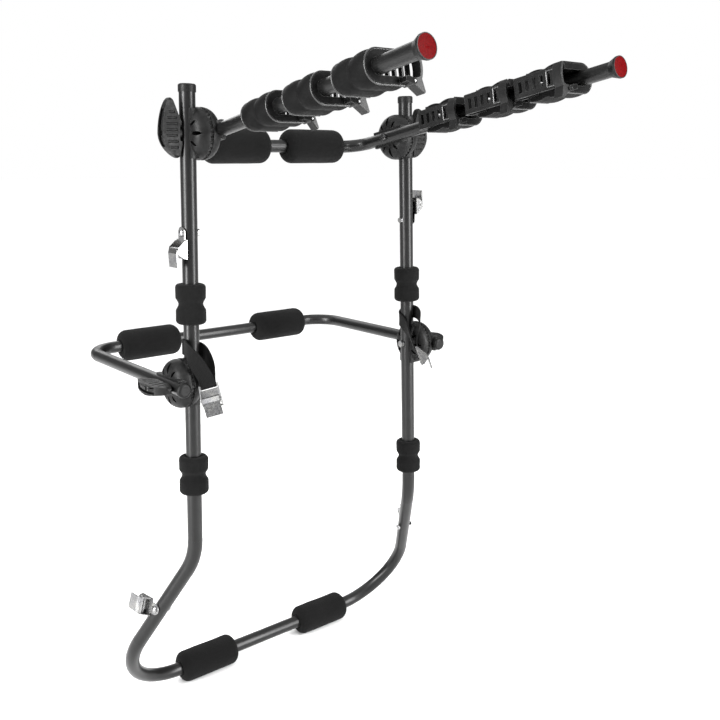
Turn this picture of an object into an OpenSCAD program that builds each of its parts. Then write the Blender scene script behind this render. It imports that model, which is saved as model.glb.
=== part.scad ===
// Trunk mounted bike rack: a bent tube frame that straps to a car's tailgate, with two
// fold-down arms for bikes, a folding middle hoop, toothed hubs, foam pads and cam buckles.
// Millimetres. X runs across the car, +Y towards the car, Z up.
// The origin is the middle of the lower crossbar, on its axis.

/* [Tubes] */
// Outside diameter of the main frame tube
frame_tube_d = 25; // [22:0.5:30]
// Outside diameter of the arm and hoop tubes
arm_tube_d = 22; // [19:0.5:25]
// Wall of every tube
tube_wall = 1.6; // [1.2:0.1:2.5]

/* [Main frame] */
// Half the distance between the uprights at the arm pivots
upright_half = 225; // [200:5:260]
// Lean of each upright outwards, towards its foot (degrees)
upright_splay = 1.6; // [0:0.1:3]
// Upright's top above the arm pivots
upright_top = 61; // [55:1:90]
// Drop from the arm pivots to the hoop pivots
hoop_drop = 388; // [360:4:420]
// Drop from the arm pivots to the knee of the uprights
knee_drop = 694; // [670:4:730]
// Drop from the arm pivots to the lower crossbar
lower_drop = 1003; // [960:5:1060]
// Reach of the lower crossbar towards the car
lower_reach = 167; // [140:5:210]
// Half the width between the lower corners, before rounding
corner_half = 363; // [350:4:420]
// Bend radius at the knees
knee_r = 109; // [80:2:120]
// Bend radius at the lower corners
corner_r = 117; // [90:2:124]

/* [Arms] */
// Tilt of the arms above level (degrees)
arm_tilt = 10.2; // [0:0.2:20]
// Arm length from the pivot to the reflector's face
arm_length = 491; // [470:5:560]
// Reach of the arm crossbar towards the car
arm_back = 92; // [88:1:110]
// Bend radius of the arm tube
arm_bend_r = 38; // [32:1:44]
// Distance of each left cradle's middle from the pivot
cradles_left = [157, 262, 371];
// Distance of each right cradle's middle from the pivot
cradles_right = [176, 291, 392];

/* [Middle hoop] */
// Reach of the hoop's crossbar towards the car
hoop_reach = 326; // [280:5:360]
// Bend radius of the hoop tube
hoop_bend_r = 57; // [45:1:80]
// Hoop tube in front of its pivot
hoop_front = 44; // [42:1:60]

/* [Hubs] */
// Distance between the two tubes that a hub joins, axis to axis
hub_gap = 40; // [38:0.5:44]
// Radius of a hub's disc
hub_r = 40; // [38:0.5:42]
// Rounding of a hub's dome
hub_round = 20; // [16:0.5:21]
// Height of a hub half's dome above its mating face
hub_h = 23.2; // [22:0.2:23.6]
// Teeth round the seam and in the mating pocket
hub_teeth = 36; // [24:2:48]
// Pivot bolt diameter
pivot_d = 8; // [8:0.5:10]

/* [Foam] */
// Outside diameter of the crossbar pads
pad_d = 60; // [50:1:64]
// Length of a crossbar pad
pad_len = 120; // [110:2:130]
// Rounding of a pad's ends
pad_round = 14; // [8:1:16]
// Outside diameter of the rings on the uprights
ring_d = 48; // [42:1:48]
// Height of a ring
ring_len = 64; // [56:1:66]
// Ring middles below the arm pivots: left upper, left lower, right upper, right lower
ring_at = [262, 546, 272, 619];

/* [Cradles] */
// Length of a cradle along its arm
cradle_len = 70; // [64:1:72]
// Radius over the taller lobe
cradle_r = 23; // [21:0.5:23]
// Length of the cradle's lips beyond the arm axis
lip_len = 40; // [34:1:44]
// Width of the ladder strap
strap_w = 30; // [24:1:32]
// Thickness of the ladder strap
strap_t = 3; // [2.4:0.2:3.6]
// Inner radius of the strap's fold on each cradle, from the hub outwards
strap_fold = [2.5, 6, 6];

/* [Buckles] */
// Webbing that a buckle takes
webbing_w = 25; // [20:1:26]
// Buckle bolts below the arm pivots
upper_buckle_at = 150; // [120:2:200]
// Lower buckles, as a share of the way from the knee to the lower corner
lower_buckle_at = 0.34; // [0.3:0.01:0.5]

/* [Hidden] */
$fn = 48;
eps = 0.01;

// Clearances
run = 0.08;
fit = 0.05;
part_gap = 0.4;

// Joins of straights and bends
bend_lap = 0.6;
bend_swell = 0.15;

// Derived sizes
frame_r = frame_tube_d / 2;
arm_r = arm_tube_d / 2;
pivot_r = pivot_d / 2;
plug_flare = 1.2;
pad_r = pad_d / 2;
cheek = 4;
lip_rise = 4;
knob_base = frame_r + 1;
buckle_bolt_r = 3;
buckle_t = 1.6;
buckle_half = webbing_w / 2 + 3;
cam_x = 27;
cam_z = 11;
cam_r = 6.4;
loop_t = 2;
bar_r = 2;
bar_at = 5;

// Colours
paint = [0.22, 0.22, 0.23];
foam = [0.11, 0.11, 0.12];
moulding = [0.2, 0.2, 0.21];
strap_c = [0.17, 0.17, 0.18];
steel = [0.75, 0.75, 0.77];
red = [0.68, 0.08, 0.1];

// Small vector helpers
function unit(v) = v / norm(v);
function turn(a, b, c) = acos(unit(b - a) * unit(c - b));
function upright_x(z) = upright_half - z * tan(upright_splay);

function arc(centre, r, from, to, steps) = [
    for (i = [0 : steps])
        let (a = from + (to - from) * i / steps)
            [centre + r * cos(a), r * sin(a)]
];

// Outline of a taut band round a circle r1 at x1 and a circle r2 at x2
function band_points(r1, x1, r2, x2) =
    let (tangent = acos((r1 - r2) / (x2 - x1)))
        concat(
            arc(x1, r1, tangent, 360 - tangent, 32),
            arc(x2, r2, -tangent, tangent, 16)
        );

// Where the lower crossbar's middle lies, seen from between the arm pivots
origin_from_pivots = [0, lower_reach, -lower_drop];

module in_part_frame() {
    translate(-origin_from_pivots)
        children();
}

// Right-hand pieces are modelled on +X, and left-hand ones are their mirror image
module sided(side) {
    in_part_frame()
        mirror([side < 0 ? 1 : 0, 0, 0])
            children();
}

// Tube paths, as corner points from end to end
frame_right = [
    [upright_x(upright_top), 0, upright_top],
    [upright_x(-knee_drop), 0, -knee_drop],
    [corner_half, lower_reach, -lower_drop]
];
function flip(p) = [-p[0], p[1], p[2]];
frame_path = [
    flip(frame_right[0]), flip(frame_right[1]), flip(frame_right[2]),
    frame_right[2], frame_right[1], frame_right[0]
];
frame_bends = [knee_r, corner_r, corner_r, knee_r];

arm_x = upright_half - hub_gap;
arm_out = [0, -cos(arm_tilt), sin(arm_tilt)];
cap_len = 14;
arm_tip = arm_out * (arm_length - cap_len);
arm_corner = [arm_x, 0, 0] - arm_out * arm_back;
arm_path = [
    [-arm_x, arm_tip[1], arm_tip[2]], flip(arm_corner), arm_corner, [arm_x, arm_tip[1], arm_tip[2]]
];

hoop_x = upright_x(-hoop_drop) + hub_gap;
hoop_path = [
    [-hoop_x, -hoop_front, -hoop_drop], [-hoop_x, hoop_reach, -hoop_drop],
    [hoop_x, hoop_reach, -hoop_drop], [hoop_x, -hoop_front, -hoop_drop]
];

// A straight round bar from p to q
module rod(p, q, r) {
    v = q - p;
    translate(p)
        rotate([0, acos(v[2] / norm(v)), atan2(v[1], v[0])])
            cylinder(r = r, h = norm(v));
}

// A round bend at b, between the straights from a and towards c. It is a hair thicker than
// the straights and laps over their ends, so that they join as one bar
module bend(a, b, c, bend_r, r) {
    u = unit(b - a);
    w = unit(c - b);
    angle = acos(u * w);
    lap = 180 * bend_lap / (PI * bend_r);
    n = unit(cross(u, w));
    x = cross(u, n);
    at = b - u * bend_r * tan(angle / 2) - x * bend_r;
    multmatrix([
        [x[0], u[0], n[0], at[0]],
        [x[1], u[1], n[1], at[1]],
        [x[2], u[2], n[2], at[2]],
        [0, 0, 0, 1]
    ])
        rotate([0, 0, -lap])
            rotate_extrude(angle = angle + 2 * lap)
                translate([bend_r, 0])
                    circle(r = r + bend_swell);
}

// A round bar along a path of corners, each rounded by its bend radius
module bent_bar(path, bends, r, over) {
    last = len(path) - 1;
    function trim(i) = i == 0 || i == last ? -over
        : bends[i - 1] * tan(turn(path[i - 1], path[i], path[i + 1]) / 2);
    for (i = [0 : last - 1]) {
        u = unit(path[i + 1] - path[i]);
        rod(path[i] + u * trim(i), path[i + 1] - u * trim(i + 1), r);
    }
    for (i = [1 : last - 1])
        bend(path[i - 1], path[i], path[i + 1], bends[i - 1], r);
}

module bent_tube(path, bends, r) {
    difference() {
        bent_bar(path, bends, r, 0);
        bent_bar(path, bends, r - tube_wall, 1);
    }
}

// Placements
module on_upright(z) {
    translate([upright_x(z), 0, z])
        rotate([0, -upright_splay, 0])
            children();
}

module at_arm_pivot() {
    translate([upright_half, 0, 0])
        children();
}

module at_hoop_pivot() {
    translate([upright_x(-hoop_drop), 0, -hoop_drop])
        children();
}

// On the arm: Z out along the arm, X towards the other arm
module on_arm(s) {
    translate(arm_out * s + [arm_x, 0, 0])
        rotate([90 - arm_tilt, 0, 0])
            rotate([0, 0, 180])
                children();
}

// On the sloping lower leg: X square to the tube and outwards, Z up along the tube
leg_u = unit(frame_right[1] - frame_right[2]);
leg_n = unit([1, 0, 0] - leg_u * leg_u[0]);
leg_w = cross(leg_u, leg_n);
leg_at = frame_right[1] + (frame_right[2] - frame_right[1]) * lower_buckle_at;

module on_leg() {
    multmatrix([
        [leg_n[0], leg_w[0], leg_u[0], leg_at[0]],
        [leg_n[1], leg_w[1], leg_u[1], leg_at[1]],
        [leg_n[2], leg_w[2], leg_u[2], leg_at[2]],
        [0, 0, 0, 1]
    ])
        children();
}

module x_hole(r) {
    rotate([0, 90, 0])
        cylinder(r = r, h = 4 * frame_r, center = true);
}

// Frame tubes
module main_frame() {
    color(paint)
        in_part_frame()
            difference() {
                bent_tube(frame_path, frame_bends, frame_r);
                for (side = [0, 1])
                    mirror([side, 0, 0]) {
                        at_arm_pivot()
                            x_hole(pivot_r + run);
                        at_hoop_pivot()
                            x_hole(pivot_r + run);
                        on_upright(-upper_buckle_at)
                            x_hole(buckle_bolt_r + run);
                        on_leg()
                            x_hole(buckle_bolt_r + run);
                    }
            }
}

module arm_hoop() {
    color(paint)
        in_part_frame()
            difference() {
                bent_tube(arm_path, [arm_bend_r, arm_bend_r], arm_r);
                for (side = [-1, 1])
                    translate([side * arm_x, 0, 0])
                        x_hole(pivot_r + run);
            }
}

module middle_hoop() {
    color(paint)
        in_part_frame()
            difference() {
                bent_tube(hoop_path, [hoop_bend_r, hoop_bend_r], arm_r);
                for (side = [-1, 1])
                    translate([side * hoop_x, 0, -hoop_drop])
                        x_hole(pivot_r + run);
            }
}

// A moulded plug: a domed head on a ribbed spigot that fills the tube's end
module tube_plug(r, head_h, dome) {
    rotate_extrude()
        intersection() {
            union() {
                square([r + plug_flare - dome, head_h]);
                square([r + plug_flare, head_h - dome]);
                translate([r + plug_flare - dome, head_h - dome])
                    circle(r = dome);
            }
            square([2 * r, head_h]);
        }
    translate([0, 0, -18])
        cylinder(r = r - tube_wall - fit, h = 18 + eps);
}

module upright_plugs() {
    color(moulding)
        for (side = [-1, 1])
            sided(side)
                on_upright(upright_top)
                    tube_plug(frame_r, 12, 3);
}

module hoop_end_plugs() {
    color(moulding)
        for (side = [-1, 1])
            sided(side)
                translate([hoop_x, -hoop_front, -hoop_drop])
                    rotate([90, 0, 0])
                        tube_plug(arm_r, 7, 5);
}

cap_r = arm_r + 4.5;
lens_t = 3;

module arm_end_plugs() {
    color(moulding)
        for (side = [-1, 1])
            sided(side)
                on_arm(arm_length - cap_len)
                    difference() {
                        union() {
                            cylinder(r1 = arm_r + 0.8, r2 = cap_r, h = cap_len - 4);
                            translate([0, 0, cap_len - 4])
                                cylinder(r = cap_r, h = 4 - 0.6);
                            translate([0, 0, -20])
                                cylinder(r = arm_r - tube_wall - fit, h = 20 + eps);
                        }
                        translate([0, 0, cap_len - lens_t])
                            cylinder(r = cap_r - 1, h = lens_t);
                    }
}

module arm_reflectors() {
    color(red)
        for (side = [-1, 1])
            sided(side)
                on_arm(arm_length - lens_t)
                    rotate_extrude()
                        intersection() {
                            square([cap_r - 1, lens_t]);
                            translate([0, lens_t - 120])
                                circle(r = 120, $fn = 200);
                        }
}

// A foam sleeve: rounded outer ends, and a bore that fits its tube
module foam_profile(bore, r, h, round) {
    translate([bore, 0])
        square([r - round - bore, h]);
    translate([bore, round])
        square([r - bore, h - 2 * round]);
    intersection() {
        for (y = [round, h - round])
            translate([r - round, y])
                circle(r = round);
        translate([bore, 0])
            square([r - bore, h]);
    }
}

// A pad on a crossbar's straight, some way from the bend that starts at its end
module crossbar_pad(tube_r, straight_end, off, y, z) {
    color(foam)
        translate([straight_end - off - pad_len, y, z])
            rotate([0, 90, 0])
                rotate_extrude()
                    foam_profile(tube_r + fit, pad_r, pad_len, pad_round);
}

module upper_pad(side) {
    sided(side)
        crossbar_pad(arm_r, arm_x - arm_bend_r, side < 0 ? 3 : 10, arm_corner[1], arm_corner[2]);
}

module middle_pad(side) {
    sided(side)
        crossbar_pad(arm_r, hoop_x - hoop_bend_r, side < 0 ? 10 : 6, hoop_reach, -hoop_drop);
}

module lower_pad(side) {
    corner = frame_right[2];
    corner_turn = turn(frame_right[1], corner, flip(corner));
    sided(side)
        crossbar_pad(frame_r, corner_half - corner_r * tan(corner_turn / 2), 1, lower_reach, -lower_drop);
}

module upright_ring() {
    waist = 9;
    translate([0, 0, -ring_len / 2])
        rotate_extrude()
            difference() {
                foam_profile(frame_r + fit, ring_d / 2, ring_len, 6);
                translate([ring_d / 2 + waist - 4, ring_len / 2])
                    circle(r = waist);
            }
}

module upright_rings() {
    color(foam)
        for (i = [0 : 3])
            sided(i < 2 ? -1 : 1)
                on_upright(-ring_at[i])
                    upright_ring();
}

// Hub half. Its mating face is at X = 0 and its tube runs along Z at X = hub_gap / 2
rim_h = 2.8;
slot_floor = 6;
slot_from = 17.6;
middle_leaf = [19, 6.6];
side_leaf = [14.5, 5];

// A leaf, where two round arcs cross, with its tips on the X axis
module leaf(size) {
    r = (size[0] * size[0] + size[1] * size[1]) / (4 * size[1]);
    intersection() {
        translate([0, r - size[1] / 2])
            circle(r = r, $fn = 96);
        translate([0, size[1] / 2 - r])
            circle(r = r, $fn = 96);
    }
}

module fan_slot(angle, size) {
    rotate([angle, 0, 0])
        translate([slot_floor, slot_from + size[0] / 2, 0])
            rotate([90, 0, 90])
                linear_extrude(height = 2 * hub_h)
                    leaf(size);
}

function star(inner, outer, teeth) = [
    for (i = [0 : 2 * teeth - 1])
        (i % 2 == 0 ? outer : inner) * [cos(180 * i / teeth), sin(180 * i / teeth)]
];

module toothed_plate(inner, outer, h) {
    rotate([0, 90, 0])
        linear_extrude(height = h)
            polygon(star(inner, outer, hub_teeth));
}

module dome_profile() {
    intersection() {
        union() {
            square([hub_r - hub_round, hub_h]);
            square([hub_r, hub_h - hub_round]);
            translate([hub_r - hub_round, hub_h - hub_round])
                circle(r = hub_round, $fn = 96);
        }
        translate([0, rim_h])
            square([hub_r, hub_h]);
    }
}

module hub_half(tube_r, lean) {
    axis_x = hub_gap / 2;
    difference() {
        union() {
            rotate([0, 90, 0])
                rotate_extrude()
                    dome_profile();
            // Toothed seam
            translate([part_gap / 2, 0, 0])
                toothed_plate(hub_r - 2.2, hub_r - 0.5, rim_h);
            // Cheeks of the tube's channel
            intersection() {
                translate([axis_x, 0, 0])
                    rotate([0, lean, 0])
                        cylinder(r = tube_r + cheek, h = 2 * hub_r - 6, center = true);
                translate([4, -hub_r, -hub_r])
                    cube([axis_x + lip_rise - 4, 2 * hub_r, 2 * hub_r]);
            }
        }
        translate([axis_x, 0, 0])
            rotate([0, lean, 0])
                cylinder(r = tube_r + fit, h = 3 * hub_r, center = true);
        // Mating pocket
        translate([-1, 0, 0])
            toothed_plate(hub_r - 10, hub_r - 6, 3);
        rotate([0, 90, 0])
            cylinder(r = pivot_r + run, h = 4 * hub_r, center = true);
        for (half = [0, 180]) {
            fan_slot(half, middle_leaf);
            fan_slot(half - 37, side_leaf);
            fan_slot(half + 37, side_leaf);
        }
    }
    // Boss that carries the bolt through the toothed pocket
    difference() {
        translate([part_gap / 2, 0, 0])
            rotate([0, 90, 0])
                cylinder(r = pivot_r + 6, h = 3);
        rotate([0, 90, 0])
            cylinder(r = pivot_r + run, h = 4 * hub_r, center = true);
    }
}

// Frame halves face inwards at the arm hubs and outwards at the hoop hubs
module arm_hub_frame_half(side) {
    color(moulding)
        sided(side)
            at_arm_pivot()
                translate([-hub_gap / 2, 0, 0])
                    hub_half(frame_r, -upright_splay);
}

module arm_hub_arm_half(side) {
    color(moulding)
        sided(side)
            at_arm_pivot()
                translate([-hub_gap / 2, 0, 0])
                    mirror([1, 0, 0])
                        rotate([90 - arm_tilt, 0, 0])
                            hub_half(arm_r, 0);
}

module hoop_hub_frame_half(side) {
    color(moulding)
        sided(side)
            at_hoop_pivot()
                translate([hub_gap / 2, 0, 0])
                    mirror([1, 0, 0])
                        hub_half(frame_r, upright_splay);
}

module hoop_hub_hoop_half(side) {
    color(moulding)
        sided(side)
            at_hoop_pivot()
                translate([hub_gap / 2, 0, 0])
                    rotate([90, 0, 0])
                        hub_half(arm_r, 0);
}

// Lever knob. It sits on the YZ plane, points along +X and its long wing points along +Z.
// Its side view is a crescent, and its plan is a boss with a tapered wing each way
knob_h = 32;
knob_w = 19;
long_wing = 46;
short_wing = 30;
wing_r = 6.5;
crest_groove = 2.4;

function curve(a, b, c, d, steps) = [
    for (i = [0 : steps])
        let (t = i / steps, u = 1 - t)
            u * u * u * a + 3 * u * u * t * b + 3 * u * t * t * c + t * t * t * d
];

// Points are [along the wings, height]
crest = concat(
    curve([51, 18], [41, 27], [17, knob_h], [0, knob_h], 10),
    curve([-2, knob_h], [-17, knob_h], [-28, 22], [-36.5, 9], 10)
);
crescent = concat(
    crest,
    [[-36.8, 6], [-35, 4], [-16, 0.5], [-12, 0.5], [-10.5, 4], [10.5, 4], [12, 0.5], [17, 0.5]],
    curve([44, 10], [50, 12], [53, 14], [51.6, 17], 6)
);

module knob_plan() {
    polygon(band_points(knob_w / 2, 0, wing_r, long_wing));
    mirror([1, 0])
        polygon(band_points(knob_w / 2, 0, wing_r, short_wing));
}

module along_wings(w) {
    translate([0, w / 2, 0])
        rotate([90, -90, 0])
            mirror([0, 1])
                linear_extrude(height = w)
                    children();
}

// Depth below the crest, between two places along the wings
module crest_cut(depth, from, to, w) {
    intersection() {
        along_wings(w)
            polygon(concat([for (p = crest) p - [0, depth]], [[-40, knob_h + 9], [60, knob_h + 9]]));
        translate([0, -w / 2, from])
            cube([2 * knob_h, w, to - from]);
    }
}

module wing_knob() {
    half_w = knob_w / 2;
    difference() {
        union() {
            rotate([0, 90, 0])
                cylinder(r = 8, h = 6);
            intersection() {
                along_wings(2 * knob_w)
                    polygon(crescent);
                rotate([0, -90, 180])
                    linear_extrude(height = knob_h + 1)
                        knob_plan();
            }
        }
        rotate([0, 90, 0])
            cylinder(r = pivot_r + run, h = 3 * knob_h, center = true);
        // Hollow along the crest, with a ridge left in its middle
        crest_cut(crest_groove, -20, 36, knob_w - 8);
        for (y = [-1, 1])
            translate([0, y * (knob_w - 8 - 3) / 2, 0])
                crest_cut(8, -20, 36, 3);
        // Grip grooves in both sides
        for (y = [-1, 1], g = [[31, 10, 21], [22.4, 7, 24], [13.8, 6, 26], [5.2, 8, 27], [-3.4, 8, 27],
                               [-12, 6, 25], [-20.6, 6, 20]])
            translate([g[1], y * (half_w + 0.7 - (half_w - wing_r) * abs(g[0]) / (g[0] > 0 ? 46 : 30)), g[0]])
                rotate([0, 90, 0])
                    cylinder(r = 2.1, h = g[2] - g[1], $fn = 24);
    }
}

module arm_knob(side) {
    color(moulding)
        sided(side)
            at_arm_pivot()
                translate([knob_base + part_gap, 0, 0])
                    wing_knob();
}

module hoop_knob(side) {
    color(moulding)
        sided(side)
            at_hoop_pivot()
                translate([hub_gap + arm_r + part_gap, 0, 0])
                    rotate([-90, 0, 0])
                        wing_knob();
}

// Bolts lie along X: a shank from x0 to x1, a domed hex head before x0
module x_bolt(r, x0, x1, head_r, head_h) {
    translate([x0, 0, 0])
        rotate([0, 90, 0])
            cylinder(r = r, h = x1 - x0);
    translate([x0 - head_h, 0, 0])
        rotate([0, 90, 0])
            cylinder(r = head_r, h = head_h, $fn = 6);
    translate([x0 - head_h - 1, 0, 0])
        rotate([0, 90, 0])
            cylinder(r = head_r * 0.8, h = 1 + eps);
}

buckle_off = frame_r + part_gap;

module buckle_bolt() {
    x_bolt(buckle_bolt_r, -frame_r, buckle_off + 4.5, 5.6, 4);
    translate([buckle_off + buckle_t + part_gap, 0, 0])
        rotate([0, 90, 0])
            rotate_extrude()
                intersection() {
                    square([6, 3.4]);
                    translate([0, 3.4 - 7.5])
                        circle(r = 7.5);
                }
}

module through_bolts() {
    color(steel)
        for (side = [-1, 1])
            sided(side) {
                at_arm_pivot()
                    x_bolt(pivot_r, -hub_gap - arm_r - part_gap, knob_base + knob_h - 4, 7, 5);
                at_hoop_pivot()
                    x_bolt(pivot_r, -frame_r - part_gap, hub_gap + arm_r + knob_h - 4, 7, 5);
                on_upright(-upper_buckle_at)
                    buckle_bolt();
                on_leg()
                    buckle_bolt();
            }
}

// Cradle: a two-lobed rubber saddle round the arm, open towards the other arm
bore_r = arm_r + run;
lobe_curve = 52;
bead_r = 1.7;

module cradle_profile() {
    half = cradle_len / 2;
    base_r = cradle_r - 3;
    translate([bore_r, -half])
        square([base_r - bore_r, cradle_len]);
    for (lobe = [[-half / 2, cradle_r - 0.8], [half / 2, cradle_r]])
        intersection() {
            translate([lobe[1] - lobe_curve, lobe[0]])
                circle(r = lobe_curve, $fn = 160);
            translate([bore_r, lobe[0] - half / 2])
                square([20, half]);
        }
    // Bead rims
    for (rim = [[-half + bead_r, -0.6], [half - bead_r, 0.8]])
        translate([base_r + rim[1], rim[0]])
            circle(r = bead_r, $fn = 32);
}

latch_pin = [lip_len + 5, 18.5];
latch_z = [cradle_len / 2 - 5, cradle_len / 2 + 10];
ear_t = 2;

module on_cradle(side, i) {
    sided(side)
        on_arm((side < 0 ? cradles_left : cradles_right)[i - 1])
            children();
}

module latch_ear(z) {
    translate([0, 0, z])
        linear_extrude(height = ear_t)
            difference() {
                union() {
                    translate(latch_pin)
                        circle(r = 4, $fn = 32);
                    polygon([[lip_len - 6, 12], [latch_pin[0], 14.6],
                             [latch_pin[0], 22.4], [lip_len - 6, 20]]);
                }
                translate(latch_pin)
                    circle(r = 1.6 + run, $fn = 32);
            }
}

module cradle(side, i) {
    ear_z = [latch_z[0] - ear_t - part_gap, latch_z[1] + part_gap];
    color(foam)
        on_cradle(side, i) {
            rotate([0, 0, 90])
                rotate_extrude(angle = 180)
                    cradle_profile();
            for (lip = [0, 1])
                mirror([0, lip, 0])
                    rotate([90, 0, 90])
                        linear_extrude(height = lip_len)
                            cradle_profile();
            // Tongue that carries the latch beyond the cradle's end
            translate([lip_len - 9, 13, ear_z[0]])
                cube([9, 6.5, ear_z[1] + ear_t - ear_z[0]]);
            for (z = ear_z)
                latch_ear(z);
        }
}

// Ladder strap: fixed to the lips' ends, folded back over the saddle's mouth
function strap_front(i) = lip_len + 2 * strap_t + 2 * strap_fold[i - 1];
strap_back = cradle_len / 2 - 8;
fold_at = -(cradle_len / 2 + 5.5);
strap_end = latch_z[0] - 3;

module strap_profile(i) {
    fold_r = strap_fold[i - 1] + strap_t;
    translate([fold_at, lip_len])
        square([strap_back, strap_t]);
    translate([fold_at, strap_front(i) - strap_t])
        square([strap_end - fold_at, strap_t]);
    intersection() {
        difference() {
            translate([fold_at, lip_len + fold_r])
                circle(r = fold_r);
            translate([fold_at, lip_len + fold_r])
                circle(r = fold_r - strap_t);
        }
        translate([fold_at - 2 * fold_r, lip_len])
            square([2 * fold_r, 2 * fold_r]);
    }
}

module ladder_strap(side, i) {
    slot = [6.4, 16];
    pitch = 13;
    color(strap_c)
        on_cradle(side, i)
            difference() {
                translate([0, -strap_w / 2, 0])
                    multmatrix([[0, 1, 0, 0], [0, 0, 1, 0], [1, 0, 0, 0], [0, 0, 0, 1]])
                        linear_extrude(height = strap_w)
                            strap_profile(i);
                for (k = [0 : 4])
                    translate([strap_front(i) - 1.5 * strap_t, -slot[1] / 2, fold_at + 4 + k * pitch])
                        cube([2 * strap_t, slot[1], slot[0]]);
            }
}

// Latch: a curved lever on a pin along the arm, with a wire bail over the strap's end
lever_r = 37;
lever_t = 3.6;
wire_r = 1.2;
bail_half = 11;

module lever_profile(i) {
    cx = strap_front(i) - 32;
    sweep = 30;
    tip = [strap_front(i) + 3, latch_pin[1] + 12];
    difference() {
        intersection() {
            translate([cx, 0])
                circle(r = lever_r, $fn = 120);
            polygon([
                [cx, 0], [cx + 60 * cos(sweep), -60 * sin(sweep)], [cx + 70, 0],
                [cx + 60 * cos(sweep), 60 * sin(sweep)]
            ]);
        }
        translate([cx, 0])
            circle(r = lever_r - lever_t, $fn = 120);
    }
    // Foot to the pin and the finger claw
    low = [cx + (lever_r - lever_t / 2) * cos(sweep - 4), (lever_r - lever_t / 2) * sin(sweep - 4)];
    polygon([low + [1.8, -3], low + [-1.8, -3], latch_pin + [-3, -2], latch_pin + [2, 3.4], low + [2, 2]]);
    polygon([low + [-1.6, 0], low + [1.8, -2], tip + [3, 0], tip + [1, 2], latch_pin + [2, 3]]);
    translate(latch_pin)
        circle(r = 4, $fn = 32);
}

module strap_latch(side, i) {
    bail_x = strap_front(i) + wire_r + part_gap;
    bail_z = strap_end - 10;
    color(strap_c)
        on_cradle(side, i) {
            translate([0, 0, latch_z[0]])
                linear_extrude(height = latch_z[1] - latch_z[0])
                    lever_profile(i);
            translate([latch_pin[0], latch_pin[1], latch_z[0] - ear_t - 1.6])
                cylinder(r = 1.6, h = latch_z[1] - latch_z[0] + 2 * ear_t + 3.2, $fn = 32);
            rod([bail_x, -bail_half, bail_z], [bail_x, bail_half, bail_z], wire_r);
            for (y = [-1, 1]) {
                rod([bail_x, y * bail_half, bail_z], [bail_x, y * bail_half, latch_z[0] + 5], wire_r);
                translate([bail_x, y * bail_half, bail_z])
                    sphere(r = wire_r);
            }
        }
}

// Cam buckle. X runs along the webbing, Y across it, and Z is away from what it sits on
module buckle_walls(x0, x1) {
    for (y = [-1, 1])
        translate([0, y * (buckle_half - buckle_t / 2) + buckle_t / 2, 0])
            rotate([90, 0, 0])
                linear_extrude(height = buckle_t)
                    polygon([
                        [x0, 0], [x1, 0], [x1, 5], [cam_x + 5, cam_z + 4], [cam_x - 5, cam_z + 4], [x0, 4]
                    ]);
}

module buckle_plate() {
    difference() {
        translate([10, -buckle_half, 0])
            cube([30, 2 * buckle_half, buckle_t]);
        translate([33, -webbing_w / 2 - 0.5, -1])
            cube([4, webbing_w + 1, 4]);
    }
    buckle_walls(12, 39);
    translate([cam_x, 0, cam_z])
        rotate([90, 0, 0])
            cylinder(r = 2, h = 2 * buckle_half + 2.4, center = true);
}

module bolted_buckle() {
    buckle_plate();
    difference() {
        union() {
            cylinder(r = 9.5, h = buckle_t);
            translate([0, -9.5, 0])
                cube([11, 19, buckle_t]);
        }
        translate([0, 0, -1])
            cylinder(r = buckle_bolt_r + run, h = 4);
    }
}

module looped_buckle() {
    buckle_plate();
    buckle_walls(bar_at - 2.6, 14);
    translate([bar_at, 0, bar_r])
        rotate([90, 0, 0])
            cylinder(r = bar_r, h = 2 * buckle_half - 0.2, center = true);
}

module buckle_cam() {
    cam_half = buckle_half - buckle_t - part_gap;
    teeth = 7;
    rotate([90, 0, 0])
        linear_extrude(height = 2 * cam_half, center = true)
            difference() {
                union() {
                    translate([cam_x, cam_z])
                        circle(r = cam_r - 1);
                    // Teeth towards the webbing
                    for (k = [0 : teeth - 1])
                        translate([cam_x, cam_z])
                            rotate(-140 + k * 14)
                                translate([cam_r - 2.2, 0])
                                    polygon([[0, -1.1], [2.2, 0], [0, 1.1]]);
                    // Thumb plate
                    polygon([
                        [cam_x - 3, cam_z + 4], [cam_x + 4, cam_z + 4.6], [cam_x + 24, cam_z + 3.4],
                        [cam_x + 26, cam_z + 5.2], [cam_x + 4, cam_z + 6.8], [cam_x - 3, cam_z + 5.2]
                    ]);
                }
                translate([cam_x, cam_z])
                    circle(r = 2 + run, $fn = 32);
            }
}

// Upper buckles sit on the uprights: the left one hangs, the right one points up
module upper_place(side) {
    sided(side)
        on_upright(-upper_buckle_at)
            translate([buckle_off, 0, 0])
                rotate([0, side < 0 ? 90 : -90, 0])
                    mirror([0, 0, side < 0 ? 0 : 1])
                        children();
}

module lower_place(side) {
    sided(side)
        on_leg()
            translate([buckle_off, 0, 0])
                rotate([62, 0, 0])
                    rotate([0, 90, 0])
                        children();
}

// Middle buckles hang on webbing loops round the uprights, just over the hoop hubs.
// Places are seen from the hoop pivot on the upright: outwards, to the car, up
function loop_bar(side) = side < 0 ? [0, -52, 2] : [-14, -40, -1];
function loop_hang(side) = unit(side < 0 ? [-0.08, -0.35, -0.93] : [0.13, -0.38, -0.92]);
function loop_face(side) =
    let (across = side < 0 ? [-0.78, -0.56, 0.3] : [-0.62, -0.75, 0.23])
        unit(cross(across, loop_hang(side)));
function loop_across(side) = cross(loop_hang(side), loop_face(side));

module middle_place(side) {
    at = loop_bar(side);
    x = loop_hang(side);
    y = -loop_across(side);
    z = loop_face(side);
    sided(side)
        on_upright(-hoop_drop)
            multmatrix([
                [x[0], y[0], z[0], at[0]],
                [x[1], y[1], z[1], at[1]],
                [x[2], y[2], z[2], at[2]],
                [0, 0, 0, 1]
            ])
                translate([-bar_at, 0, -bar_r])
                    children();
}

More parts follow.
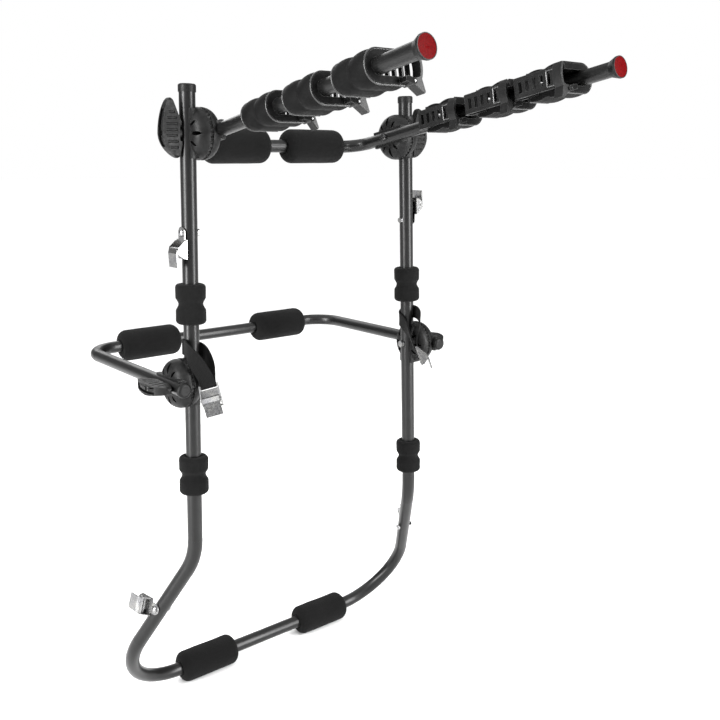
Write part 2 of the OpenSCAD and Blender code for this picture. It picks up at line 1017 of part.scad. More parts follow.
module upper_buckle(side) {
    color(steel)
        upper_place(side)
            bolted_buckle();
}

module lower_buckle(side) {
    color(steel)
        lower_place(side)
            bolted_buckle();
}

module middle_buckle(side) {
    color(steel)
        middle_place(side)
            looped_buckle();
}

module upper_cam(side) {
    color(steel)
        upper_place(side)
            buckle_cam();
}

module lower_cam(side) {
    color(steel)
        lower_place(side)
            buckle_cam();
}

module middle_cam(side) {
    color(steel)
        middle_place(side)
            buckle_cam();
}

// Webbing loop: a band round the upright that twists down to the buckle's bar.
// It goes round the tube, down the inner run, round the bar and up the outer run
wrap_ends = [-10, 160];
function wrap_point(side, a) =
    let (r = frame_r + loop_t / 2 + 2 * part_gap)
        [r * cos(a), r * sin(a), hub_r + 14 + (side < 0 ? 0.22 : 0.5) * r * cos(a)];
function ease(from, to, t) =
    let (u = t * t * t * (10 - 15 * t + 6 * t * t))
        unit(from * (1 - u) + to * u);

function loop_path(side) =
    let (
        down = loop_hang(side),
        off = loop_face(side) * (bar_r + run + loop_t / 2),
        bar = loop_bar(side),
        top = [for (a = wrap_ends) wrap_point(side, a)],
        inner = side < 0 ? [-26, -26, 48] : [-18, -15, 42],
        outer = side < 0 ? [30, -46, 58] : [12, -46, 62]
    )
        concat(
            [for (a = [wrap_ends[0] : 10 : wrap_ends[1]]) wrap_point(side, a)],
            curve(top[1], inner, bar - off - 20 * down, bar - off - 3 * down, 12),
            [for (a = [180 : -15 : 0]) bar + off * cos(a) + down * norm(off) * sin(a)],
            curve(bar + off - 3 * down, bar + off - 20 * down, outer, top[0], 12)
        );

function loop_widths(side) =
    let (top = [0, 0, 1], low = loop_across(side))
        concat(
            [for (a = [wrap_ends[0] : 10 : wrap_ends[1]]) top],
            [for (i = [0 : 12]) ease(top, low, i / 12)],
            [for (a = [180 : -15 : 0]) low],
            [for (i = [0 : 12]) ease(low, top, i / 12)]
        );

// A closed ribbon along the points p, with the rough width directions w
module ribbon(p, w, width, thick) {
    n = len(p);
    along = [for (i = [0 : n - 1]) unit(p[(i + 1) % n] - p[(i + n - 1) % n])];
    out = [for (i = [0 : n - 1]) unit(cross(along[i], w[i]))];
    across = [for (i = [0 : n - 1]) cross(out[i], along[i])];
    corners = [[1, 1], [1, -1], [-1, -1], [-1, 1]];
    polyhedron(
        points = [
            for (i = [0 : n - 1], c = corners)
                p[i] + across[i] * width / 2 * c[0] + out[i] * thick / 2 * c[1]
        ],
        faces = [
            for (i = [0 : n - 1], j = [0 : 3], half = [0, 1])
                let (a = 4 * i, b = 4 * ((i + 1) % n), k = (j + 1) % 4)
                    half == 0 ? [a + j, b + j, b + k] : [a + j, b + k, a + k]
        ]
    );
}

function without_repeats(list, keys) = [
    for (i = [0 : len(list) - 1])
        if (norm(keys[i] - keys[(i + 1) % len(keys)]) > 0.01)
            list[i]
];

module webbing_loop(side) {
    p = loop_path(side);
    color(foam)
        sided(side)
            on_upright(-hoop_drop)
                ribbon(without_repeats(p, p), without_repeats(loop_widths(side), p), webbing_w, loop_t);
}

main_frame();
upright_plugs();
arm_hoop();
arm_end_plugs();
arm_reflectors();
middle_hoop();
hoop_end_plugs();
upper_pad(-1);  // upper_pad_left
upper_pad(1);  // upper_pad_right
middle_pad(-1);  // middle_pad_left
middle_pad(1);  // middle_pad_right
lower_pad(-1);  // lower_pad_left
lower_pad(1);  // lower_pad_right
upright_rings();
through_bolts();
arm_hub_frame_half(-1);  // arm_hub_frame_half_left
arm_hub_frame_half(1);  // arm_hub_frame_half_right
arm_hub_arm_half(-1);  // arm_hub_arm_half_left
arm_hub_arm_half(1);  // arm_hub_arm_half_right
hoop_hub_frame_half(-1);  // hoop_hub_frame_half_left
hoop_hub_frame_half(1);  // hoop_hub_frame_half_right
hoop_hub_hoop_half(-1);  // hoop_hub_hoop_half_left
hoop_hub_hoop_half(1);  // hoop_hub_hoop_half_right
arm_knob(-1);  // arm_knob_left
arm_knob(1);  // arm_knob_right
hoop_knob(-1);  // hoop_knob_left
hoop_knob(1);  // hoop_knob_right
cradle(-1, 1);  // cradle_left_1
cradle(-1, 2);  // cradle_left_2
cradle(-1, 3);  // cradle_left_3
cradle(1, 1);  // cradle_right_1
cradle(1, 2);  // cradle_right_2
cradle(1, 3);  // cradle_right_3
ladder_strap(-1, 1);  // ladder_strap_left_1
ladder_strap(-1, 2);  // ladder_strap_left_2
ladder_strap(-1, 3);  // ladder_strap_left_3
ladder_strap(1, 1);  // ladder_strap_right_1
ladder_strap(1, 2);  // ladder_strap_right_2
ladder_strap(1, 3);  // ladder_strap_right_3
strap_latch(-1, 1);  // strap_latch_left_1
strap_latch(-1, 2);  // strap_latch_left_2
strap_latch(-1, 3);  // strap_latch_left_3
strap_latch(1, 1);  // strap_latch_right_1
strap_latch(1, 2);  // strap_latch_right_2
strap_latch(1, 3);  // strap_latch_right_3
upper_buckle(-1);  // upper_buckle_left
upper_buckle(1);  // upper_buckle_right
lower_buckle(-1);  // lower_buckle_left
lower_buckle(1);  // lower_buckle_right
middle_buckle(-1);  // middle_buckle_left
middle_buckle(1);  // middle_buckle_right
upper_cam(-1);  // upper_cam_left
upper_cam(1);  // upper_cam_right
lower_cam(-1);  // lower_cam_left
lower_cam(1);  // lower_cam_right
middle_cam(-1);  // middle_cam_left
middle_cam(1);  // middle_cam_right
webbing_loop(-1);  // webbing_loop_left
webbing_loop(1);  // webbing_loop_right
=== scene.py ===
import math

import bmesh
import bpy
from mathutils import Matrix, Vector, noise


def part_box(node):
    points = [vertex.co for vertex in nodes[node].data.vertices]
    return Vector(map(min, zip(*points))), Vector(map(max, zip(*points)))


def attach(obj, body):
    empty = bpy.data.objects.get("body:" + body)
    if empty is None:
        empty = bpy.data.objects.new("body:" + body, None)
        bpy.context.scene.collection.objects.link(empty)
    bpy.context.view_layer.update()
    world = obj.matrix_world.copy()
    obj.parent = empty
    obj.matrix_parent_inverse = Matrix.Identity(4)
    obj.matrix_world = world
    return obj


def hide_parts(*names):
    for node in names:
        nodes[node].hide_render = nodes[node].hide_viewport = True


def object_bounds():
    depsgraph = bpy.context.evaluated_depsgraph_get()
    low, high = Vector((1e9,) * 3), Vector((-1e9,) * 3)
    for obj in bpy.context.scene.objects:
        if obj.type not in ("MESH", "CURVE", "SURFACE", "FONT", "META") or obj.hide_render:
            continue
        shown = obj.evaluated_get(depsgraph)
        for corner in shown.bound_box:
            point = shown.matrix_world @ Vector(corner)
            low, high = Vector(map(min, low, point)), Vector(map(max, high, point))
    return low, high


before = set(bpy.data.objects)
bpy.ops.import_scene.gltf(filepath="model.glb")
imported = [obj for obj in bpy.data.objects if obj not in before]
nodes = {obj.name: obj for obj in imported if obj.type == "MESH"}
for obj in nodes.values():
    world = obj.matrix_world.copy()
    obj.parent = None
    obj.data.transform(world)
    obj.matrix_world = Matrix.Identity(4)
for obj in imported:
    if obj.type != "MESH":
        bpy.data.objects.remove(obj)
cad_low, cad_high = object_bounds()

# Sizes of the part that the new pieces and the second finishes follow, in metres
FRAME_R, ARM_R, HUB_R = 0.0125, 0.011, 0.040
UPRIGHT_HALF, SPLAY, ARM_TILT = 0.225, math.radians(1.6), math.radians(10.2)
LOWER_REACH, LOWER_DROP, HOOP_DROP = 0.167, 1.003, 0.388
CRADLE_AT = {"left": (0.157, 0.262, 0.371), "right": (0.176, 0.291, 0.392)}
CRADLE_LEN, BEAD_R = 0.070, 0.0017
LATCH_Z = (0.030, 0.045)
LATCH_TOL, END_TOL = 0.00005, 0.0001

# Foam: side and drop below the arm pivots of each ring, and how the sleeves are rounded
RING_AT = ((-1, 0.262), (-1, 0.546), (1, 0.272), (1, 0.619))
RING_D, RING_LEN, RING_ROUND = 0.048, 0.064, 0.006
WAIST_DEPTH, WAIST_REACH, WAIST_POWER = 0.0045, 0.011, 1.6
PAD_ROUND, PAD_INSET = 0.014, 0.0003
FOAM_GAP, FOAM_LIP, FOAM_RIPPLE = 0.0001, 0.0015, 0.0004

# Webbing: the band, the buckle's bar, and how the loop lies on its upright
WEBBING_W, LOOP_T, LOOP_INSET = 0.025, 0.002, 0.0001
BAR_R, BAR_GAP = 0.002, 0.00008
WRAP_GAP, WRAP_RISE = 0.0008, 0.014
WRAP_FROM, WRAP_TO, WRAP_STEP = -10, 160, 5
RUN_END, RUN_LEAD = 0.003, 0.020
SELVEDGE, EDGE_ANGLES = 1.08, (0.5, 1.05, 1.57, 2.09, 2.6)

FLOOR_R, FLOOR_GAP = 40, 0.0005


# ---------------------------------------------------------------- camera, floor and light

def make_camera():
    data = bpy.data.cameras.new("camera")
    data.sensor_width = 36
    data.lens = 44.09
    data.clip_end = 100
    cam = bpy.data.objects.new("camera", data)
    cam.location = (-0.908, -1.4052, 0.969)
    cam.rotation_euler = (math.radians(77.0), 0, math.radians(-39.6))
    bpy.context.scene.collection.objects.link(cam)
    bpy.context.scene.camera = cam


def area_light(name, at, aim, size, watts):
    data = bpy.data.lights.new(name, "AREA")
    data.shape = "RECTANGLE"
    data.size, data.size_y = size
    data.energy = watts
    light = bpy.data.objects.new(name, data)
    light.location = at
    light.rotation_euler = (Vector(aim) - Vector(at)).to_track_quat("-Z", "Y").to_euler()
    bpy.context.scene.collection.objects.link(light)


def make_world():
    """White where the camera sees it, dim where it lights, so that dark parts stay dark."""
    world = bpy.data.worlds.new("studio")
    bpy.context.scene.world = world
    world.use_nodes = True
    tree = world.node_tree
    glow = tree.nodes["Background"]
    glow.inputs["Color"].default_value = (1, 1, 1, 1)
    glow.inputs["Strength"].default_value = 0.3
    seen = tree.nodes.new("ShaderNodeBackground")
    seen.inputs["Color"].default_value = (1, 1, 1, 1)
    mix = tree.nodes.new("ShaderNodeMixShader")
    path = tree.nodes.new("ShaderNodeLightPath")
    tree.links.new(path.outputs["Is Camera Ray"], mix.inputs["Fac"])
    tree.links.new(glow.outputs[0], mix.inputs[1])
    tree.links.new(seen.outputs[0], mix.inputs[2])
    tree.links.new(mix.outputs[0], tree.nodes["World Output"].inputs["Surface"])


def make_studio():
    bpy.context.scene.view_settings.view_transform = "Standard"
    make_world()
    data = bpy.data.lights.new("overhead", "SUN")
    data.energy = 3.2
    data.angle = math.radians(110)
    sun = bpy.data.objects.new("overhead", data)
    sun.rotation_euler = (math.radians(14), math.radians(-16), 0)
    bpy.context.scene.collection.objects.link(sun)
    middle, strip = (0, 0, 0.75), (0.8, 2.6)
    area_light("left strip", (-2.8, -0.3, 1.3), middle, strip, 195)
    area_light("right strip", (1.2, -2.5, 1.3), middle, strip, 165)
    area_light("back", (0.8, 2.6, 2.2), middle, (2.0, 1.6), 26)


# ---------------------------------------------------------------- materials

class Look:
    """One procedural material: a Principled shader and short helpers for the nodes that feed it."""

    def __init__(self, name, **values):
        self.material = bpy.data.materials.new(name)
        self.material.use_nodes = True
        self.tree = self.material.node_tree
        self.shader = self.tree.nodes["Principled BSDF"]
        for key, value in values.items():
            self.shader.inputs[key.replace("_", " ")].default_value = value
        self.place = self.add("ShaderNodeTexCoord").outputs["Object"]
        self.height = None

    def add(self, kind, **settings):
        node = self.tree.nodes.new(kind)
        for key, value in settings.items():
            setattr(node, key, value)
        return node

    def link(self, out, into):
        self.tree.links.new(out, into)

    def noise(self, scale, detail=4, rough=0.6, stretch=None):
        n = self.add("ShaderNodeTexNoise")
        n.inputs["Scale"].default_value = scale
        n.inputs["Detail"].default_value = detail
        n.inputs["Roughness"].default_value = rough
        self.link(self.stretched(stretch), n.inputs["Vector"])
        return n.outputs["Fac"]

    def cells(self, scale):
        n = self.add("ShaderNodeTexVoronoi", feature="F1")
        n.inputs["Scale"].default_value = scale
        self.link(self.place, n.inputs["Vector"])
        return n.outputs["Distance"]

    def stretched(self, stretch):
        if stretch is None:
            return self.place
        m = self.add("ShaderNodeMapping")
        m.inputs["Scale"].default_value = stretch
        self.link(self.place, m.inputs["Vector"])
        return m.outputs["Vector"]

    def span(self, value, low, high, start=0.0, end=1.0):
        n = self.add("ShaderNodeMapRange")
        self.link(value, n.inputs["Value"])
        for key, v in (("From Min", low), ("From Max", high), ("To Min", start), ("To Max", end)):
            n.inputs[key].default_value = v
        return n.outputs["Result"]

    def math(self, kind, a, b):
        n = self.add("ShaderNodeMath", operation=kind)
        for socket, value in zip(n.inputs, (a, b)):
            if isinstance(value, (int, float)):
                socket.default_value = value
            else:
                self.link(value, socket)
        return n.outputs["Value"]

    def ramp(self, value, *stops):
        n = self.add("ShaderNodeValToRGB")
        ramp = n.color_ramp
        while len(ramp.elements) < len(stops):
            ramp.elements.new(0.5)
        for element, (at, colour) in zip(ramp.elements, stops):
            element.position = at
            element.color = (*colour, 1)
        self.link(value, n.inputs["Fac"])
        return n.outputs["Color"]

    def over(self, mask, under, colour):
        n = self.add("ShaderNodeMix", data_type="RGBA")
        self.link(mask, n.inputs["Factor"])
        self.link(under, n.inputs[6])
        n.inputs[7].default_value = (*colour, 1)
        return n.outputs[2]

    def edges(self, radius):
        """1 along sharp outer and inner edges, 0 on flat surfaces."""
        bevel = self.add("ShaderNodeBevel", samples=4)
        bevel.inputs["Radius"].default_value = radius
        flat = self.add("ShaderNodeNewGeometry").outputs["Normal"]
        dot = self.add("ShaderNodeVectorMath", operation="DOT_PRODUCT")
        self.link(bevel.outputs["Normal"], dot.inputs[0])
        self.link(flat, dot.inputs[1])
        return self.span(dot.outputs["Value"], 0.995, 0.8)

    def colour(self, out):
        self.link(out, self.shader.inputs["Base Color"])

    def gloss(self, out):
        self.link(out, self.shader.inputs["Roughness"])

    def bump(self, out, strength, depth):
        n = self.add("ShaderNodeBump")
        n.inputs["Strength"].default_value = strength
        n.inputs["Distance"].default_value = depth
        self.link(out, n.inputs["Height"])
        if self.height is not None:
            self.link(self.height, n.inputs["Normal"])
        self.height = n.outputs["Normal"]
        self.link(self.height, self.shader.inputs["Normal"])


def grey(v, warm=0.0):
    return (v * (1 + warm), v, v * (1 - warm))


def paint_look():
    look = Look("tube_paint", Metallic=0.3, Specular_IOR_Level=0.27, Coat_Weight=0.15,
                Coat_Roughness=0.3)
    mottle = look.noise(55, 5)
    base = look.ramp(mottle, (0.3, grey(0.004)), (0.7, grey(0.0062)))
    fleck = look.span(look.noise(2600, 1), 0.62, 0.74)
    base = look.over(look.math("MULTIPLY", fleck, 0.3), base, grey(0.03))
    scuff = look.math("MULTIPLY", look.span(look.noise(30, 6, 0.7, (1, 1, 4)), 0.66, 0.72), 0.3)
    look.colour(look.over(scuff, base, grey(0.014)))
    look.gloss(look.span(look.noise(38, 4), 0.3, 0.7, 0.3, 0.36))
    look.bump(look.noise(700, 2), 0.03, 0.0004)
    return look.material


def foam_look():
    look = Look("foam", Sheen_Weight=0.02, Sheen_Roughness=0.6, Specular_IOR_Level=0.07)
    pores = look.cells(1100)
    shade = look.noise(24, 4)
    base = look.ramp(shade, (0.25, grey(0.0022)), (0.75, grey(0.004)))
    # Painted shade: the colour is darker in the middle of each pore, where shade falls in the pits
    painted_pit_shade = look.math("MULTIPLY", look.span(pores, 0.35, 0.05), 0.6)
    look.colour(look.over(painted_pit_shade, base, grey(0.002)))
    look.gloss(look.span(look.noise(500, 2), 0.3, 0.7, 0.82, 0.96))
    look.bump(look.span(pores, 0.0, 0.5), 0.45, 0.0006)
    look.bump(look.noise(120, 4), 0.2, 0.0012)
    return look.material


def moulding_look():
    look = Look("moulding", Specular_IOR_Level=0.15)
    base = look.ramp(look.noise(210, 5), (0.35, grey(0.0025)), (0.68, grey(0.0075)))
    edge = look.math("MULTIPLY", look.edges(0.0012), look.span(look.noise(160, 4), 0.35, 0.7))
    look.colour(look.over(look.math("MULTIPLY", edge, 0.4), base, grey(0.1)))
    look.gloss(look.span(look.noise(170, 4), 0.35, 0.65, 0.36, 0.52))
    look.bump(look.noise(520, 4), 0.3, 0.0007)
    return look.material


def rubber_look():
    look = Look("cradle_rubber", Specular_IOR_Level=0.07)
    base = look.ramp(look.noise(60, 4), (0.3, grey(0.002)), (0.7, grey(0.0036)))
    # Painted highlight: the rubber's sharp edges are lightened in colour, in patches, to stand for
    # bright edge highlights
    edge = look.math("MULTIPLY", look.edges(0.0014), look.span(look.noise(200, 3), 0.25, 0.55))
    look.colour(look.over(look.math("MULTIPLY", edge, 0.7), base, grey(0.1)))
    look.gloss(look.span(look.noise(130, 4), 0.3, 0.7, 0.56, 0.72))
    look.bump(look.noise(900, 3), 0.2, 0.0005)
    return look.material


def rim_look():
    look = Look("rim_rubber", Specular_IOR_Level=0.4, Coat_Weight=0.3, Coat_Roughness=0.2)
    look.colour(look.ramp(look.noise(60, 4), (0.3, grey(0.004)), (0.7, grey(0.008))))
    look.gloss(look.span(look.noise(150, 4), 0.3, 0.7, 0.2, 0.34))
    look.bump(look.noise(900, 3), 0.1, 0.0003)
    return look.material


def strap_look():
    look = Look("strap_plastic", Specular_IOR_Level=0.22)
    base = look.ramp(look.noise(50, 4), (0.3, grey(0.005)), (0.7, grey(0.008)))
    # Painted highlight: the strap's sharp edges are lightened in colour, in patches, to stand for
    # gloss highlights
    edge = look.math("MULTIPLY", look.edges(0.0008), look.span(look.noise(240, 3), 0.3, 0.7))
    look.colour(look.over(look.math("MULTIPLY", edge, 0.45), base, grey(0.12)))
    look.gloss(look.span(look.noise(110, 4), 0.3, 0.7, 0.3, 0.42))
    look.bump(look.noise(1300, 2), 0.18, 0.0003)
    return look.material


def zinc_look():
    look = Look("zinc", Metallic=1.0)
    tint = look.ramp(look.noise(70, 5), (0.3, (0.2, 0.2, 0.21)), (0.5, (0.27, 0.27, 0.27)),
                     (0.72, (0.34, 0.335, 0.32)))
    grime = look.math("MULTIPLY", look.span(look.noise(260, 4), 0.58, 0.72), 0.5)
    look.colour(look.over(grime, tint, grey(0.12, 0.03)))
    look.gloss(look.span(look.noise(340, 4), 0.3, 0.7, 0.2, 0.34))
    look.bump(look.noise(800, 3, 0.6, (1, 5, 1)), 0.12, 0.0003)
    return look.material


def wire_look():
    look = Look("dark_steel", Metallic=1.0)
    tint = look.ramp(look.noise(90, 4), (0.3, grey(0.1)), (0.7, grey(0.17)))
    look.colour(look.over(look.span(look.noise(420, 4), 0.6, 0.74), tint, grey(0.05)))
    look.gloss(look.span(look.noise(300, 3), 0.3, 0.7, 0.2, 0.34))
    look.bump(look.noise(1100, 2), 0.1, 0.0002)
    return look.material


def red_look():
    look = Look("reflector_red", Specular_IOR_Level=0.02)
    prism = look.cells(700)
    look.colour(look.ramp(prism, (0.1, (0.1, 0.0006, 0.0012)), (0.6, (0.065, 0.0005, 0.001))))
    look.gloss(look.span(look.noise(220, 3), 0.3, 0.7, 0.34, 0.48))
    look.bump(prism, 0.2, 0.0006)
    return look.material


def webbing_look():
    look = Look("webbing", Sheen_Weight=0.03, Sheen_Roughness=0.5, Specular_IOR_Level=0.08)
    uv = look.add("ShaderNodeTexCoord").outputs["UV"]

    def ribs(scale, direction):
        wave = look.add("ShaderNodeTexWave", bands_direction=direction)
        wave.inputs["Scale"].default_value = scale
        wave.inputs["Distortion"].default_value = 0.6
        wave.inputs["Detail"].default_value = 1
        look.link(uv, wave.inputs["Vector"])
        return wave.outputs["Fac"]

    weave = look.math("MULTIPLY", ribs(5.5, "X"), ribs(3.2, "Y"))
    # Painted shade: the colour is darker in the grooves between the threads and lighter where they
    # cross
    base = look.ramp(weave, (0.0, grey(0.002)), (1.0, grey(0.007)))
    fuzz = look.math("MULTIPLY", look.span(look.noise(900, 3), 0.55, 0.8), 0.4)
    look.colour(look.over(fuzz, base, grey(0.014)))
    look.gloss(look.span(look.noise(300, 3), 0.3, 0.7, 0.7, 0.88))
    look.bump(weave, 0.6, 0.0006)
    return look.material


def floor_look():
    look = Look("floor", Specular_IOR_Level=0.2)
    look.colour(look.ramp(look.noise(3, 4), (0.3, grey(0.86)), (0.7, grey(0.89))))
    look.gloss(look.span(look.noise(9, 3), 0.3, 0.7, 0.7, 0.8))
    look.bump(look.noise(240, 2), 0.05, 0.0004)
    return look.material


# Each look and the starts of the names of the CAD nodes that wear it
LOOK_OF = (
    (paint_look, ("main_frame", "arm_hoop", "middle_hoop")),
    (moulding_look, ("upright_plugs", "arm_end_plugs", "hoop_end_plugs", "arm_hub_", "hoop_hub_",
                     "arm_knob_", "hoop_knob_")),
    (rubber_look, ("cradle_",)),
    (strap_look, ("ladder_strap_", "strap_latch_")),
    (zinc_look, ("through_bolts", "upper_buckle_", "lower_buckle_", "middle_buckle_",
                 "upper_cam_", "lower_cam_", "middle_cam_")),
    (red_look, ("arm_reflectors",)),
)


def on_wire(z):
    """The wire bail and the pin's ends lie beyond the latch lever's two sides."""
    return not LATCH_Z[0] - LATCH_TOL < z < LATCH_Z[1] + LATCH_TOL


def on_bead(z):
    """The bead runs round each end of a cradle, without the flat end face."""
    return END_TOL < CRADLE_LEN / 2 - abs(z) < 2 * BEAD_R


def dress_nodes():
    for make, starts in LOOK_OF:
        material = make()
        for key, obj in nodes.items():
            if key.startswith(starts):
                obj.data.materials.clear()
                obj.data.materials.append(material)
    wire, rim = wire_look(), rim_look()
    for key, obj in nodes.items():
        if key.startswith("strap_latch_"):
            second_finish(key, obj, wire, on_wire)
        elif key.startswith("cradle_"):
            second_finish(key, obj, rim, on_bead)


def second_finish(key, obj, material, chosen):
    """A second material on the faces chosen by their place along the arm from the cradle's middle."""
    side, number = key.split("_")[-2:]
    out = Vector((0, -math.cos(ARM_TILT), math.sin(ARM_TILT)))
    pivot = Vector((0, -LOWER_REACH, LOWER_DROP)) + out * CRADLE_AT[side][int(number) - 1]
    obj.data.materials.append(material)
    for face in obj.data.polygons:
        if chosen((face.center - pivot).dot(out)):
            face.material_index = 1


# ---------------------------------------------------------------- meshes

def new_piece(name, bm, material, body):
    """Makes a smooth object of a finished bmesh and lets it ride on its body."""
    mesh = bpy.data.meshes.new(name)
    bmesh.ops.recalc_face_normals(bm, faces=bm.faces)
    for f in bm.faces:
        f.smooth = True
    bm.to_mesh(mesh)
    bm.free()
    mesh.materials.append(material)
    obj = bpy.data.objects.new(name, mesh)
    bpy.context.scene.collection.objects.link(obj)
    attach(obj, body)
    return obj


def lathe(bm, profile, place, segments=96, ripple=0.0):
    """Turns a closed profile of (radius, height) points round Z, then moves it to its place."""
    rings = []
    for k in range(segments):
        a = 2 * math.pi * k / segments
        ring = []
        for r, z in profile:
            p = Vector((math.cos(a), math.sin(a), 0))
            swell = ripple * noise.noise(Vector((p.x * 2.2, p.y * 2.2, z * 30)))
            ring.append(bm.verts.new(place @ (p * (r + swell) + Vector((0, 0, z)))))
        rings.append(ring)
    for k in range(segments):
        a, b = rings[k], rings[(k + 1) % segments]
        for i in range(len(profile)):
            j = (i + 1) % len(profile)
            bm.faces.new((a[i], b[i], b[j], a[j]))


def arc(cr, cz, r, start, end, steps):
    """Points of an arc in the plane of radius and height, between two angles in degrees."""
    angles = [math.radians(start + (end - start) * i / steps) for i in range(steps + 1)]
    return [(cr + r * math.cos(a), cz + r * math.sin(a)) for a in angles]


def sleeve_profile(bore, r, length, rounding, waisted=False):
    """Foam sleeve: soft inner lips, rounded outer ends and, on a ring, a waist."""
    half, lip = length / 2, FOAM_LIP
    lip_steps, end_steps, waist_steps, side_steps = 4, 10, 22, 24
    points = arc(bore + lip, -half + lip, lip, 180, 270, lip_steps)
    points += arc(r - rounding, -half + rounding, rounding, 270, 360, end_steps)
    if waisted:
        for i in range(1, waist_steps):
            z = -WAIST_REACH + 2 * WAIST_REACH * i / waist_steps
            dip = math.cos(math.pi * z / WAIST_REACH / 2) ** WAIST_POWER
            points.append((r - WAIST_DEPTH * dip, z))
    else:
        straight = length - 2 * rounding
        points += [(r, -half + rounding + straight * i / side_steps) for i in range(1, side_steps)]
    points += arc(r - rounding, half - rounding, rounding, 0, 90, end_steps)
    points += arc(bore + lip, half - lip, lip, 90, 180, lip_steps)
    return points


def on_upright(side, z):
    """Place on an upright at height z from the arm pivots, with Z up along it and X outwards."""
    at = Vector((UPRIGHT_HALF - z * math.tan(SPLAY), -LOWER_REACH, LOWER_DROP + z))
    place = Matrix.Translation(at) @ Matrix.Rotation(-SPLAY, 4, "Y")
    return Matrix.Diagonal((side, 1, 1, 1)) @ place


def make_pads(foam):
    rows = (("upper", ARM_R, "arms"), ("middle", ARM_R, "hoop"), ("lower", FRAME_R, "frame"))
    for row, bore, body in rows:
        for side in ("left", "right"):
            node = f"{row}_pad_{side}"
            low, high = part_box(node)
            length = high.x - low.x
            r = (high.z - low.z) / 2
            place = Matrix.Translation((low + high) / 2) @ Matrix.Rotation(math.pi / 2, 4, "Y")
            bm = bmesh.new()
            profile = sleeve_profile(bore + FOAM_GAP, r - PAD_INSET, length, PAD_ROUND)
            lathe(bm, profile, place, ripple=FOAM_RIPPLE)
            pad = new_piece(f"{row}_foam_{side}", bm, foam, body)
            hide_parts(node)


def make_rings(foam):
    bm = bmesh.new()
    profile = sleeve_profile(FRAME_R + FOAM_GAP, RING_D / 2, RING_LEN, RING_ROUND, waisted=True)
    for side, drop in RING_AT:
        lathe(bm, profile, on_upright(side, -drop), ripple=FOAM_RIPPLE)
    rings = new_piece("upright_ring_foam", bm, foam, "frame")
    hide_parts("upright_rings")


def bezier(a, b, c, d, steps):
    ts = [i / steps for i in range(steps + 1)]
    return [a * (1 - t) ** 3 + b * (3 * t * (1 - t) ** 2) + c * (3 * t * t * (1 - t)) + d * t ** 3
            for t in ts]


def eased(start, end, t):
    """Turns one direction smoothly into another as t goes from 0 to 1."""
    u = t ** 3 * (10 - 15 * t + 6 * t * t)
    return (start * (1 - u) + end * u).normalized()


# A webbing loop seen from the hoop pivot on its upright: outwards, to the car, up
LOOPS = (
    # side, name, bar's middle, hang, across, inner run's bend, outer run's bend, slope of the wrap
    (-1, "left", (0, -0.052, 0.002), (-0.08, -0.35, -0.93), (-0.78, -0.56, 0.3),
     (-0.026, -0.026, 0.048), (0.030, -0.046, 0.058), 0.22),
    (1, "right", (-0.014, -0.040, -0.001), (0.13, -0.38, -0.92), (-0.62, -0.75, 0.23),
     (-0.018, -0.015, 0.042), (0.012, -0.046, 0.062), 0.5),
)


def loop_path(bar, hang, across, inner, outer, slope):
    """Round the tube, down the inner run, round the bar and up the outer run: points and frames."""
    bar, inner, outer = Vector(bar), Vector(inner), Vector(outer)
    down = Vector(hang).normalized()
    face = Vector(across).cross(down).normalized()
    low, top = down.cross(face), Vector((0, 0, 1))
    off = face * (BAR_R + BAR_GAP + LOOP_T / 2)
    end, lead = down * RUN_END, down * RUN_LEAD
    r = FRAME_R + LOOP_T / 2 + WRAP_GAP

    def wrap(a):
        c, s = math.cos(math.radians(a)), math.sin(math.radians(a))
        return Vector((r * c, r * s, HUB_R + WRAP_RISE + slope * r * c))

    steps = 40
    parts = [(wrap(a), top) for a in range(WRAP_FROM, WRAP_TO + 1, WRAP_STEP)]
    run = bezier(wrap(WRAP_TO), inner, bar - off - lead, bar - off - end, steps)
    parts += [(p, eased(top, low, i / steps)) for i, p in enumerate(run)][1:]
    for a in range(180, -1, -10):
        turn = math.radians(a)
        parts.append((bar + off * math.cos(turn) + down * (off.length * math.sin(turn)), low))
    run = bezier(bar + off - end, bar + off - lead, outer, wrap(WRAP_FROM), steps)
    parts += [(p, eased(low, top, i / steps)) for i, p in enumerate(run)][:-1]
    path = []
    for i, (p, w) in enumerate(parts):
        along = (parts[(i + 1) % len(parts)][0] - parts[i - 1][0]).normalized()
        out = along.cross(w).normalized()
        path.append((p, out, out.cross(along)))
    return path


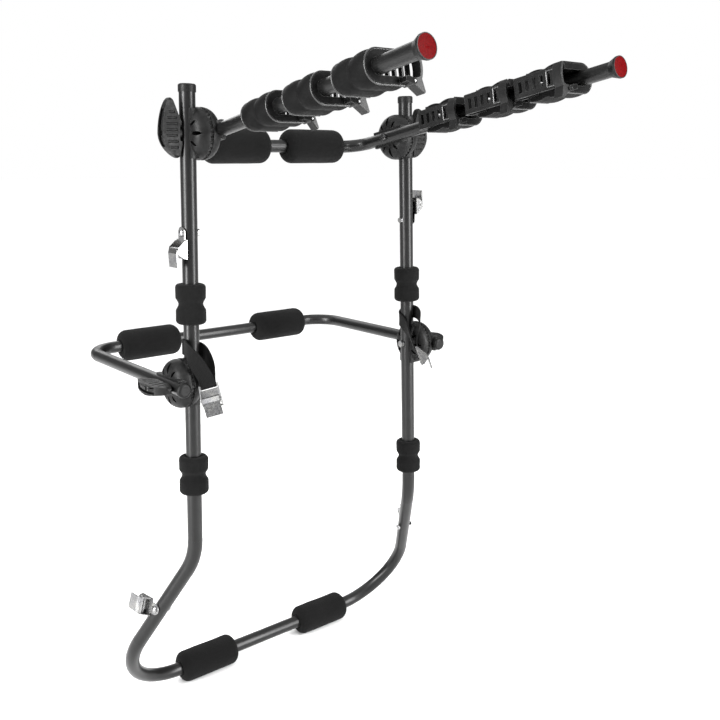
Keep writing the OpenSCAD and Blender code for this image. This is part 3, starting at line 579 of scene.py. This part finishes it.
def band_section(width, thick):
    """Section of the webbing as (out, across): flat faces, thicker selvedges, rounded edges."""
    h, w = thick / 2, width / 2
    last = 12
    face = [(h * (1.0 if 0 < i < last else SELVEDGE), -w + h + (2 * w - 2 * h) * i / last)
            for i in range(last + 1)]
    edge = [(h * math.cos(a), w - h + h * math.sin(a)) for a in EDGE_ANGLES]
    back = [(-o, z) for o, z in reversed(face)]
    return face + edge + back + [(-o, -z) for o, z in edge]


def sweep_ring(bm, path, section, place):
    """A closed sweep of a section along a path, with UVs in webbing widths."""
    uv = bm.loops.layers.uv.verify()
    rows, lengths = [], [0.0]
    for i, (p, out, across) in enumerate(path):
        lengths.append(lengths[-1] + (path[(i + 1) % len(path)][0] - p).length)
        rows.append([bm.verts.new(place @ (p + out * o + across * z)) for o, z in section])
    for i, a in enumerate(rows):
        b = rows[(i + 1) % len(rows)]
        u0, u1 = lengths[i] / WEBBING_W, lengths[i + 1] / WEBBING_W
        for j in range(len(section)):
            k = (j + 1) % len(section)
            f = bm.faces.new((a[j], b[j], b[k], a[k]))
            v0, v1 = section[j][1] / WEBBING_W, section[k][1] / WEBBING_W
            for loop, value in zip(f.loops, ((u0, v0), (u1, v0), (u1, v1), (u0, v1))):
                loop[uv].uv = value


def make_loops(webbing):
    for side, name, *shape in LOOPS:
        bm = bmesh.new()
        section = band_section(WEBBING_W, LOOP_T - LOOP_INSET)
        sweep_ring(bm, loop_path(*shape), section, on_upright(side, -HOOP_DROP))
        loop = new_piece(f"webbing_{name}", bm, webbing, "frame")
        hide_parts(f"webbing_loop_{name}")


def make_floor():
    bm = bmesh.new()
    bmesh.ops.create_circle(bm, cap_ends=True, radius=FLOOR_R, segments=96)
    mesh = bpy.data.meshes.new("floor")
    bm.to_mesh(mesh)
    bm.free()
    mesh.materials.append(floor_look())
    floor = bpy.data.objects.new("floor", mesh)
    floor.location.z = cad_low.z - FLOOR_GAP
    bpy.context.scene.collection.objects.link(floor)


# ---------------------------------------------------------------- build

make_camera()
make_studio()
dress_nodes()
foam = foam_look()
make_pads(foam)
make_rings(foam)
make_loops(webbing_look())
make_floor()
